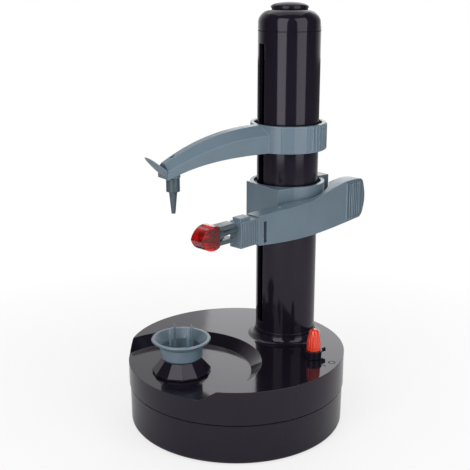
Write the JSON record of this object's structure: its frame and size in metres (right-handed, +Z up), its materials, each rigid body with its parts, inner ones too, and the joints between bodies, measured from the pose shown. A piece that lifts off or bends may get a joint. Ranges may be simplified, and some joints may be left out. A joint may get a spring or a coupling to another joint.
{
  "type": "electric potato peeler",
  "caption": "Battery powered potato peeler with a round base, a slotted tower with a lead screw, a spiked holder arm, a spinning food cup and a sprung peeling arm on a sliding carriage.",
  "frame": {"origin": "centre of the round base on the surface it stands on", "axes": "+Z up along the tower, +X from the food cup to the tower, the peeling arm on the -Y side"},
  "size_m": [0.1715, 0.15, 0.285],
  "materials": {
    "black_gloss": "glossy",
    "black_matte": "matt",
    "grey_satin": "satin",
    "grey_dark": "satin",
    "red_orange": "glossy",
    "red_clear": "clear",
    "white_plastic": "satin",
    "rubber": "matt",
    "steel": "brushed",
    "brass": "satin",
    "spring_metal": "plated",
    "motor_can": "satin",
    "cell_jacket": "gloss"
  },
  "bodies": {
    "base": {"lower_housing": "black_gloss", "upper_housing": "black_gloss", "rubber_feet": "rubber", "housing_screws": "steel", "battery_cells": "cell_jacket", "battery_contacts": "spring_metal", "gear_plate": "white_plastic", "gear_pins": "steel", "drive_motor": "motor_can", "spindle_bush": "white_plastic", "spindle_lower_bush": "white_plastic", "screw_lower_bush": "white_plastic", "screw_top_bush": "white_plastic", "micro_switch": "black_matte", "tower_tube": "black_gloss", "tower_cap": "black_gloss", "top_knob": "black_gloss"},
    "door": {"battery_door": "black_matte"},
    "motor_rotor": {"motor_pinion": "brass"},
    "food_idler": {"turntable_idler": "white_plastic"},
    "tower_idler": {"screw_idler": "white_plastic"},
    "turntable": {"turntable_gear": "white_plastic", "turntable_spindle": "steel", "drive_cone": "black_gloss"},
    "cup": {"food_cup": "grey_satin", "cup_prongs": "grey_satin"},
    "screw": {"screw_gear": "white_plastic", "lead_screw": "grey_dark"},
    "lever": {"power_lever": "red_orange", "lever_skirt": "black_gloss"},
    "holder_arm": {"upper_arm": "grey_satin", "upper_key": "grey_dark", "press_tab": "grey_satin"},
    "spike": {"food_spike": "grey_dark"},
    "peel_carriage": {"carriage": "grey_satin", "pivot_pin": "steel"},
    "nut": {"half_nut": "grey_dark"},
    "release": {"release_button": "grey_dark"},
    "arm": {"peel_arm": "grey_satin"},
    "cartridge": {"blade_cartridge": "grey_satin", "holder_rod": "grey_dark"},
    "blade_head": {"blade_holder": "grey_dark", "blade_guard": "red_clear", "blade": "steel"}
  },
  "joints": [
    {"name": "turntable_spin", "type": "hinge", "parent": "base", "child": "turntable", "pos_m": [-0.045, 0, 0.05], "axis": [0, 0, 1], "continuous": true},
    {"name": "motor_spin", "type": "hinge", "parent": "base", "child": "motor_rotor", "pos_m": [-0.001, 0.023, 0.0355], "axis": [0, 0, 1], "continuous": true},
    {"name": "food_idler_spin", "type": "hinge", "parent": "base", "child": "food_idler", "pos_m": [-0.02501, 0.01534, 0.0355], "axis": [0, 0, 1], "continuous": true},
    {"name": "tower_idler_spin", "type": "hinge", "parent": "base", "child": "tower_idler", "pos_m": [0.02301, 0.01534, 0.0355], "axis": [0, 0, 1], "continuous": true},
    {"name": "lead_screw_spin", "type": "hinge", "parent": "base", "child": "screw", "pos_m": [0.043, 0, 0.1], "axis": [0, 0, 1], "continuous": true},
    {"name": "cup_lift_off", "type": "slide", "parent": "turntable", "child": "cup", "axis": [0, 0, 1], "range_m": [0, 0.04]},
    {"name": "power_turn", "type": "hinge", "parent": "base", "child": "lever", "pos_m": [0.031, -0.047, 0.055], "axis": [0, 0, 1], "range_deg": [-60, 0]},
    {"name": "battery_door_off", "type": "slide", "parent": "base", "child": "door", "axis": [0, 0, -1], "range_m": [0, 0.02]},
    {"name": "holder_arm_slide", "type": "slide", "parent": "base", "child": "holder_arm", "axis": [0, 0, 1], "range_m": [-0.01, 0.05]},
    {"name": "spike_spin", "type": "hinge", "parent": "holder_arm", "child": "spike", "pos_m": [-0.049, 0, 0.175], "axis": [0, 0, 1], "continuous": true},
    {"name": "carriage_slide", "type": "slide", "parent": "base", "child": "peel_carriage", "axis": [0, 0, 1], "range_m": [-0.055, 0.01]},
    {"name": "release_press", "type": "slide", "parent": "peel_carriage", "child": "release", "axis": [-0.9976, -0.0698, 0], "range_m": [0, 0.002], "stiffness_N_per_m": 300},
    {"name": "half_nut_open", "type": "slide", "parent": "peel_carriage", "child": "nut", "axis": [-0.9903, 0.1392, 0], "range_m": [0, 0.002], "stiffness_N_per_m": 300},
    {"name": "arm_swing", "type": "hinge", "parent": "peel_carriage", "child": "arm", "pos_m": [0.01, -0.034, 0.145], "axis": [0, 0, 1], "range_deg": [-25, 3], "stiffness_Nm_per_rad": 0.08},
    {"name": "cartridge_out", "type": "slide", "parent": "arm", "child": "cartridge", "axis": [-0.9781, -0.2079, 0], "range_m": [0, 0.014]},
    {"name": "blade_tilt", "type": "hinge", "parent": "cartridge", "child": "blade_head", "pos_m": [-0.04055, -0.04628, 0.151], "axis": [0.9781, 0.2079, 0], "range_deg": [-12, 12], "stiffness_Nm_per_rad": 0.004}
  ],
  "couplings": [
    {"joint": "motor_spin", "follows": "turntable_spin", "ratio": 9.1},
    {"joint": "food_idler_spin", "follows": "turntable_spin", "ratio": -2.6},
    {"joint": "tower_idler_spin", "follows": "turntable_spin", "ratio": -2.6},
    {"joint": "lead_screw_spin", "follows": "turntable_spin", "ratio": 1},
    {"joint": "half_nut_open", "follows": "release_press", "ratio": 1}
  ]
}
